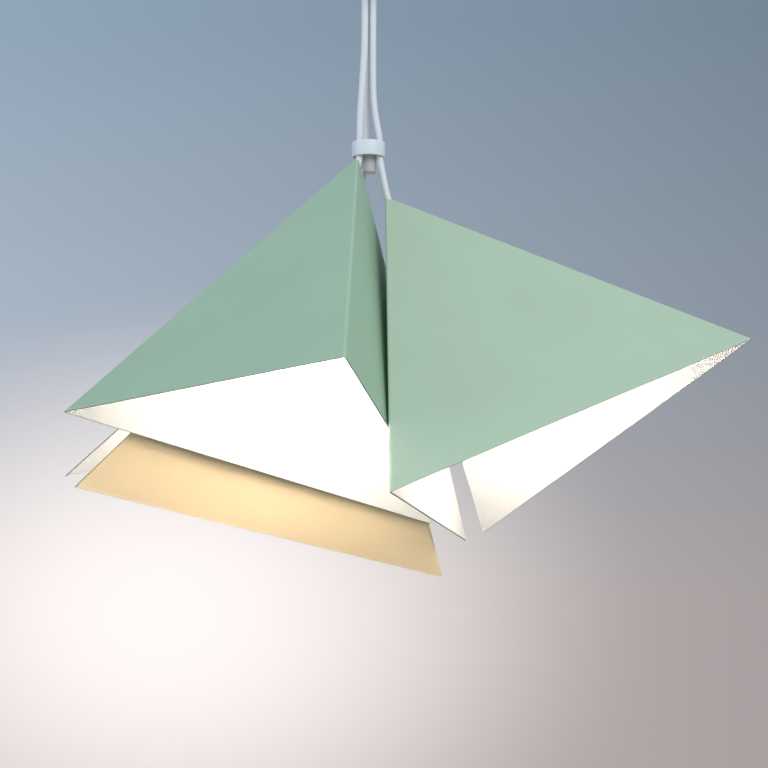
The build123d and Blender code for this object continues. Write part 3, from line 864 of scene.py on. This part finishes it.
def smooth_line(name, route):
    """Points of the NURBS line of order three that has the route's points as its control points."""
    curve = bpy.data.curves.new(name + "_line", "CURVE")
    curve.dimensions = "3D"
    curve.resolution_u = 16
    spline = curve.splines.new("NURBS")
    spline.points.add(len(route) - 1)
    spline.points.foreach_set("co", np.column_stack([route, np.ones(len(route))]).ravel())
    spline.order_u = 3
    spline.use_endpoint_u = True
    item = bpy.data.objects.new(name + "_line", curve)
    bpy.context.scene.collection.objects.link(item)
    bpy.context.view_layer.update()
    mesh = bpy.data.meshes.new_from_object(item.evaluated_get(bpy.context.evaluated_depsgraph_get()))
    points = np.empty(len(mesh.vertices) * 3)
    mesh.vertices.foreach_get("co", points)
    bpy.data.objects.remove(item)
    bpy.data.curves.remove(curve)
    bpy.data.meshes.remove(mesh)
    return points.reshape(-1, 3)


def stand_in(item, node, body):
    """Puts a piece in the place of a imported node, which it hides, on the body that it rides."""
    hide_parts(node)
    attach(item, body)


def turned(name, points, node, slot, body, side=None, looped=True, marks=None):
    """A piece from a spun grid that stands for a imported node, on a shade's lamp axis if a side is given."""
    placed = on_axis(side, points) if side else points
    stand_in(piece(name, placed, ringed(points, looped), [finish(slot)], marks=marks), node, body)


def dress(names):
    """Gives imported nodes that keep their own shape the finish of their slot."""
    slots = {
        "mounting_plate": "plate_steel",
        "cord_clamp": "clamp_nylon",
        "clamp_screws": "screw_steel",
        "terminal_block": "terminal_nylon",
        "terminal_screws": "terminal_brass",
        "gland_nut": "gland_nut_white",
        "gland_screw": "screw_steel",
        "nipple": "nipple_zinc",
        "holder_insert": "insert_cream",
        "holder_contacts": "contact_brass",
    }
    for name in names:
        kind = next(key for key in slots if name.startswith(key))
        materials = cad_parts[name].data.materials
        materials.clear()
        materials.append(finish(slots[kind]))


# operators

class PENDANT_OT_stage(bpy.types.Operator):
    """Sets the camera, the lamps, the pale floor and the backdrop."""

    bl_idname = "pendant.stage"
    bl_label = "Stage"

    def execute(self, context):
        s = settings().stage
        camera = bpy.data.objects.new("Camera", bpy.data.cameras.new("Camera"))
        camera.data.lens = s.lens
        camera.data.sensor_width = 36
        camera.location = s.eye
        camera.rotation_euler = (np.pi / 2, 0, 0)
        context.scene.collection.objects.link(camera)
        context.scene.camera = camera
        for name, lamp in LAMPS.items():
            self.lamp(name, *lamp)
        self.world(context)
        self.backdrop()
        context.scene.view_settings.view_transform = "Standard"
        return {"FINISHED"}

    def lamp(self, name, place, target, size, power, code):
        """A square area lamp turned to a target."""
        item = bpy.data.objects.new(name, bpy.data.lights.new(name, "AREA"))
        item.data.size = size
        item.data.energy = power
        item.data.color = linear(code)
        item.location = place
        item.rotation_euler = (Vector(target) - Vector(place)).to_track_quat("-Z", "Y").to_euler()
        bpy.context.scene.collection.objects.link(item)

    def world(self, context):
        """Even, slightly cool light from all sides."""
        world = bpy.data.worlds.new("Studio")
        world.use_nodes = True
        sky = world.node_tree.nodes["Background"]
        sky.inputs["Color"].default_value = shaded(linear("#E9F0F8"))
        sky.inputs["Strength"].default_value = 0.5
        context.scene.world = world

    def backdrop(self):
        """Floor and wall as one sheet along X: a flat run, a quarter circle and a straight rise."""
        s = settings().stage
        floor, wall, top, bend, reach = -3.0, 2.6, 3.2, 0.6, 6.0
        quarter = arc((wall - bend, floor + bend), bend, -90, 0, 13)
        line = np.concatenate([[(-reach, floor), (-1.0, floor)], quarter, [(wall, top)]])
        across = np.linspace(-reach, reach, 5)
        points = np.zeros((len(line), len(across), 3))
        points[..., 0] = across
        points[..., 1:] = line[:, None]
        item = piece("studio_sweep", points, grid_faces(*points.shape[:2]), [self.sweep_paint(s)], smooth=60)

    def sweep_paint(self, s):
        """Matt wall paint; where the camera, a reflection or glass shows it, painted light makes it paler low
        and painted shade darker high.

        A soft round patch low on the left is a painted pool of the lamp's light, and painted shade dims the
        whole a little to the right.
        """
        material, tree, shader = surface("matt_wall_paint", Roughness=0.9, Base_Color=shaded(s.floor))
        where = add(tree, "NewGeometry").outputs["Position"]
        parts = add(tree, "SeparateXYZ", {0: where})
        rise = add(tree, "MapRange", {"Value": parts.outputs[2], "From Min": -1.15, "From Max": 0.8})
        # painted light and shade on the wall: paler low, darker high
        tone = add(tree, "ValToRGB", {"Fac": rise.outputs[0]})
        ramp = tone.color_ramp
        ramp.elements[0].color = shaded(s.wall_foot)
        ramp.elements[1].color = shaded(s.wall_top)
        ramp.elements.new(0.5).color = shaded(s.wall_middle)
        # painted pool of the lamp's light on the wall
        patch = (-0.55, 2.25, -1.2)
        off = add(tree, "VectorMath", {0: where, 1: patch}, operation="SUBTRACT")
        tall = add(tree, "VectorMath", {0: off.outputs[0], 1: (1.0, 1.0, 1.35)}, operation="MULTIPLY")
        far = add(tree, "VectorMath", {0: tall.outputs[0]}, operation="LENGTH")
        reach = {"Value": far.outputs["Value"], "From Min": 0.15, "From Max": 1.6}
        reach.update({"To Min": 1.0, "To Max": 0.0})
        near = add(tree, "MapRange", reach, interpolation_type="SMOOTHSTEP")
        lit = {0: near.outputs[0], 6: tone.outputs["Color"], 7: shaded(s.wall_glow)}
        tone = add(tree, "Mix", lit, data_type="RGBA")
        # painted shade: the wall dims a little to the right
        aside = {"Value": parts.outputs[0], "From Min": -1.3, "From Max": 1.3, "To Min": 1.22, "To Max": 0.78}
        level = add(tree, "MapRange", aside)
        shown = add(tree, "Emission", {"Color": tone.outputs[2], "Strength": level.outputs[0]})
        rays = add(tree, "LightPath").outputs
        seen = {0: rays["Is Camera Ray"], 1: rays["Is Glossy Ray"]}
        either = add(tree, "Math", seen, operation="MAXIMUM").outputs[0]
        through = {0: either, 1: rays["Is Transmission Ray"]}
        plain = add(tree, "Math", through, operation="MAXIMUM").outputs[0]
        mix = add(tree, "MixShader", {0: plain, 1: shader.outputs[0], 2: shown.outputs[0]})
        tree.links.new(mix.outputs[0], tree.nodes["Material Output"].inputs["Surface"])
        return material


class PENDANT_OT_flex(bpy.types.Operator):
    """Hangs the three cords from the clamp to the lampholders."""

    bl_idname = "pendant.flex"
    bl_label = "Flex"

    def execute(self, context):
        s = settings().flex
        for side in SIDES:
            route = cord_route(side)
            line = smooth_line("flex_" + side, route)
            rings = tube_points(line, s.radius)
            rings = np.concatenate([rings[:1] * 0 + line[0], rings, rings[:1] * 0 + line[-1]])
            step = np.linalg.norm(np.diff(line, axis=0), axis=1)
            along = np.concatenate([[0, 0], np.cumsum(step), [step.sum()]])
            turn_share = np.linspace(0, 2 * np.pi, rings.shape[1], endpoint=False)
            marks = {
                "along": np.broadcast_to(along[:, None], rings.shape[:2]),
                "round": np.broadcast_to(turn_share[None], rings.shape[:2]),
            }
            item = piece("flex_" + side, rings, ringed(rings, False), [finish("cord_white")], marks=marks)
            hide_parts("cord_upper_" + side, "cord_lower_" + side)
            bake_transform(item)
        return {"FINISHED"}


class PENDANT_OT_collar(bpy.types.Operator):
    """Makes the band round the cords and the core between them."""

    bl_idname = "pendant.collar"
    bl_label = "Collar"

    def execute(self, context):
        turned("collar_band", spun(band_form()), "collar_ring", "collar_white", "collar")
        core = spun(core_form(), 192, core_grooves)
        turned("collar_core", core, "cord_core", "core_white", "rose", looped=False)
        return {"FINISHED"}


class PENDANT_OT_shades(bpy.types.Operator):
    """Folds the three sheets."""

    bl_idname = "pendant.shades"
    bl_label = "Shades"

    def execute(self, context):
        outsides = {"left": "shade_green_left", "right": "shade_green_right", "rear": "shade_yellow"}
        for side, slot in outsides.items():
            item = folded_sheet(side, (slot, "shade_inside", "shade_edge"))
            stand_in(item, "shade_" + side, "shade_" + side)
        return {"FINISHED"}


class PENDANT_OT_holders(bpy.types.Operator):
    """Makes the carrier cones and lampholders."""

    bl_idname = "pendant.holders"
    bl_label = "Lampholders"

    def execute(self, context):
        kinds = (
            ("carrier_cone", cone_form, cone_ribs, "cone_white", 144),
            ("holder_cap", holder_cap_form, holder_ribs, "holder_white", 288),
            ("holder_body", holder_body_form, holder_ribs, "holder_white", 288),
        )
        for side in SIDES:
            for node, form, ripple, slot, segments in kinds:
                points = spun(form(), segments, ripple)
                turned(f"{node}_dressed_{side}", points, f"{node}_{side}", slot, "shade_" + side, side)
            dress([f"{node}_{side}" for node in ("nipple", "holder_insert", "holder_contacts")])
        return {"FINISHED"}


class PENDANT_OT_bulbs(bpy.types.Operator):
    """Makes the screw bulbs."""

    bl_idname = "pendant.bulbs"
    bl_label = "Bulbs"

    def execute(self, context):
        for side in SIDES:
            body = "bulb_" + side
            points = spun(globe_form())
            marks = {"down": -points[..., 2]}
            turned("globe_" + side, points, "bulb_globe_" + side, "bulb_opal", body, side, False, marks)
            parts = shell_form()
            points = spun(np.concatenate(parts), ripple=thread)
            rows = np.repeat([2, 1, 0], [len(part) for part in parts])[:-1]
            kinds = np.repeat(rows, points.shape[1])
            materials = [finish(slot) for slot in ("bulb_cap", "bulb_glass", "bulb_solder")]
            place = on_axis(side, points)
            shell = piece("screw_shell_" + side, place, ringed(points, False), materials, kinds, smooth=50)
            stand_in(shell, "bulb_shell_" + side, body)
        return {"FINISHED"}


class PENDANT_OT_rose(bpy.types.Operator):
    """Makes the canopy and outlet, and finishes what the canopy covers."""

    bl_idname = "pendant.rose"
    bl_label = "Ceiling rose"

    def execute(self, context):
        turned("canopy_cup", spun(canopy_form(), 192), "canopy", "canopy_white", "canopy")
        outlet = spun(gland_form(), 192, gland_flutes)
        turned("cord_outlet", outlet, "outlet_gland", "gland_white", "canopy")
        dress(["mounting_plate", "cord_clamp", "clamp_screws", "terminal_block", "terminal_screws"])
        dress(["gland_nut", "gland_screw"])
        return {"FINISHED"}


class PENDANT_PT_panel(bpy.types.Panel):
    """Lists what the add-on makes, in order."""

    bl_idname = "PENDANT_PT_panel"
    bl_label = "Folded cluster pendant"
    bl_space_type = "VIEW_3D"
    bl_region_type = "UI"
    bl_category = "Pendant"

    def draw(self, context):
        for operator in OPERATORS:
            self.layout.operator(operator.bl_idname)


SIZES = (ShadeSizes, HolderSizes, BulbSizes, FlexSizes, RoseSizes)
SETTINGS = SIZES + (Finishes, StageSettings, PendantSettings)
OPERATORS = (
    PENDANT_OT_stage,
    PENDANT_OT_flex,
    PENDANT_OT_collar,
    PENDANT_OT_shades,
    PENDANT_OT_holders,
    PENDANT_OT_bulbs,
    PENDANT_OT_rose,
)


def register():
    """Registers the classes and hangs the settings on the scene."""
    for item in SETTINGS + OPERATORS + (PENDANT_PT_panel,):
        bpy.utils.register_class(item)
    bpy.types.Scene.pendant = PointerProperty(type=PendantSettings)


def unregister():
    """Takes the settings and the classes away again."""
    del bpy.types.Scene.pendant
    for item in reversed(SETTINGS + OPERATORS + (PENDANT_PT_panel,)):
        bpy.utils.unregister_class(item)


def main():
    """Makes every piece in order."""
    register()
    for operator in OPERATORS:
        getattr(bpy.ops.pendant, operator.bl_idname.split(".")[1])()


if __name__ == "__main__":
    main()
